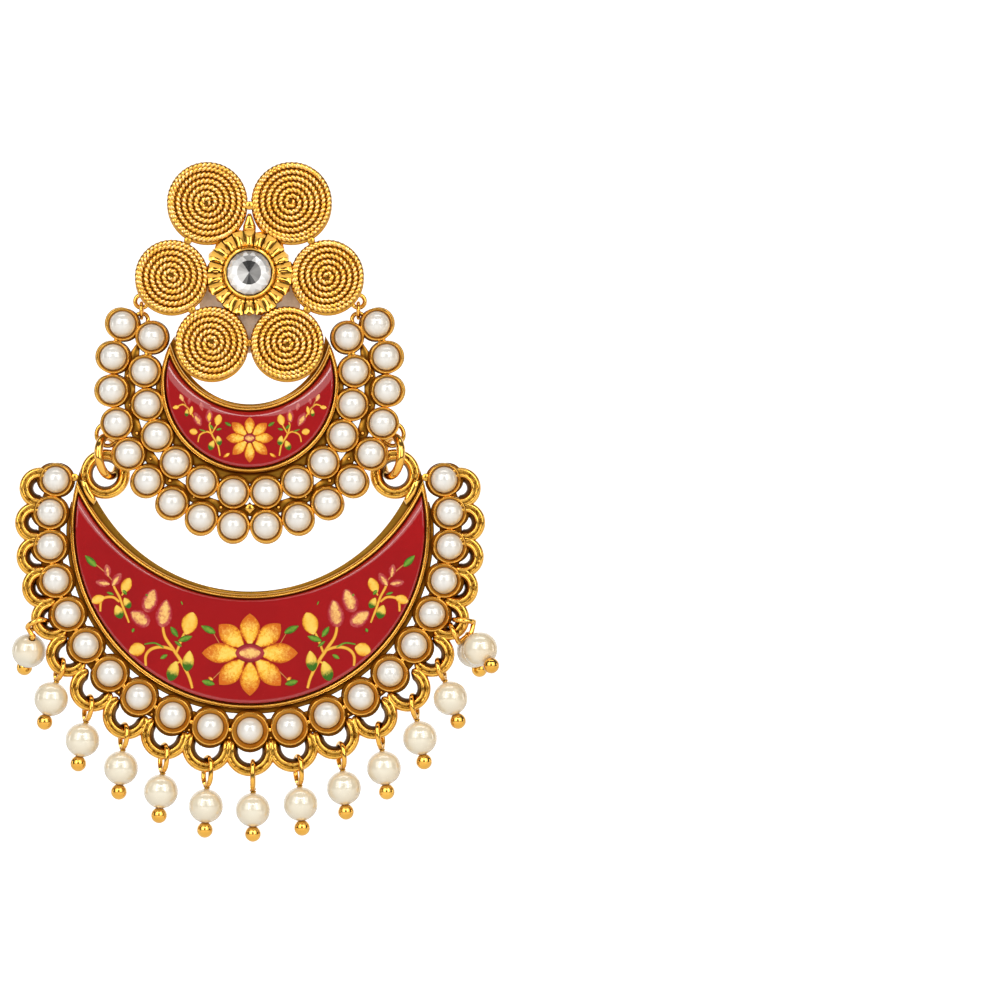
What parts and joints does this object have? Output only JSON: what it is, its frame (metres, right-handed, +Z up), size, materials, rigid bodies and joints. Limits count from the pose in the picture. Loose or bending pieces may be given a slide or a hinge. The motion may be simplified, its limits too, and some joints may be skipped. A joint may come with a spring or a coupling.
{
  "type": "drop earring",
  "caption": "Drop earring in two hanging crescent tiers under a flower stud, with rows of half pearls, red enamel panels and a fringe of hanging pearls.",
  "frame": {"origin": "middle of the comfort pad's lobe side, on the axis of the ear post", "axes": "+Y along the ear post towards the back of the ear, so the front faces -Y; +Z up; +X to the right as the front is seen"},
  "size_m": [0.0611, 0.0153, 0.0849],
  "materials": {
    "gold": "antique gold plating, polished on the rims and dark in the hollows",
    "enamel": "glossy red enamel",
    "pearl": "pearl lustre",
    "stone": "polished and foiled",
    "pad": "soft and matte"
  },
  "bodies": {
    "stud": {"stud_flower": "gold", "centre_stone": "stone", "comfort_pad": "pad", "ear_post": "gold"},
    "upper_tier": {"upper_frame": "gold", "upper_enamel": "enamel", "upper_pearls_outer": "pearl", "upper_pearls_inner": "pearl", "top_link_left": "gold", "top_link_right": "gold"},
    "lower_tier": {"lower_frame": "gold", "lower_enamel": "enamel", "lower_pearls": "pearl", "jump_ring_left": "gold", "jump_ring_right": "gold", "drop_pin_01": "gold", "drop_pin_02": "gold", "drop_pin_03": "gold", "drop_pin_04": "gold", "drop_pin_05": "gold", "drop_pin_06": "gold", "drop_pin_07": "gold", "drop_pin_08": "gold", "drop_pin_09": "gold", "drop_pin_10": "gold", "drop_pin_11": "gold", "drop_pin_12": "gold", "drop_pin_13": "gold", "drop_pin_14": "gold", "drop_pearl_01": "pearl", "drop_pearl_02": "pearl", "drop_pearl_03": "pearl", "drop_pearl_04": "pearl", "drop_pearl_05": "pearl", "drop_pearl_06": "pearl", "drop_pearl_07": "pearl", "drop_pearl_08": "pearl", "drop_pearl_09": "pearl", "drop_pearl_10": "pearl", "drop_pearl_11": "pearl", "drop_pearl_12": "pearl", "drop_pearl_13": "pearl", "drop_pearl_14": "pearl"}
  },
  "joints": [
    {"name": "upper_swing", "type": "hinge", "parent": "stud", "child": "upper_tier", "pos_m": [0, 0, -0.0006], "axis": [1, 0, 0], "range_deg": [-2, 50]},
    {"name": "lower_swing", "type": "hinge", "parent": "upper_tier", "child": "lower_tier", "pos_m": [0, 0.0006, -0.01785], "axis": [1, 0, 0], "range_deg": [-6, 45]}
  ]
}
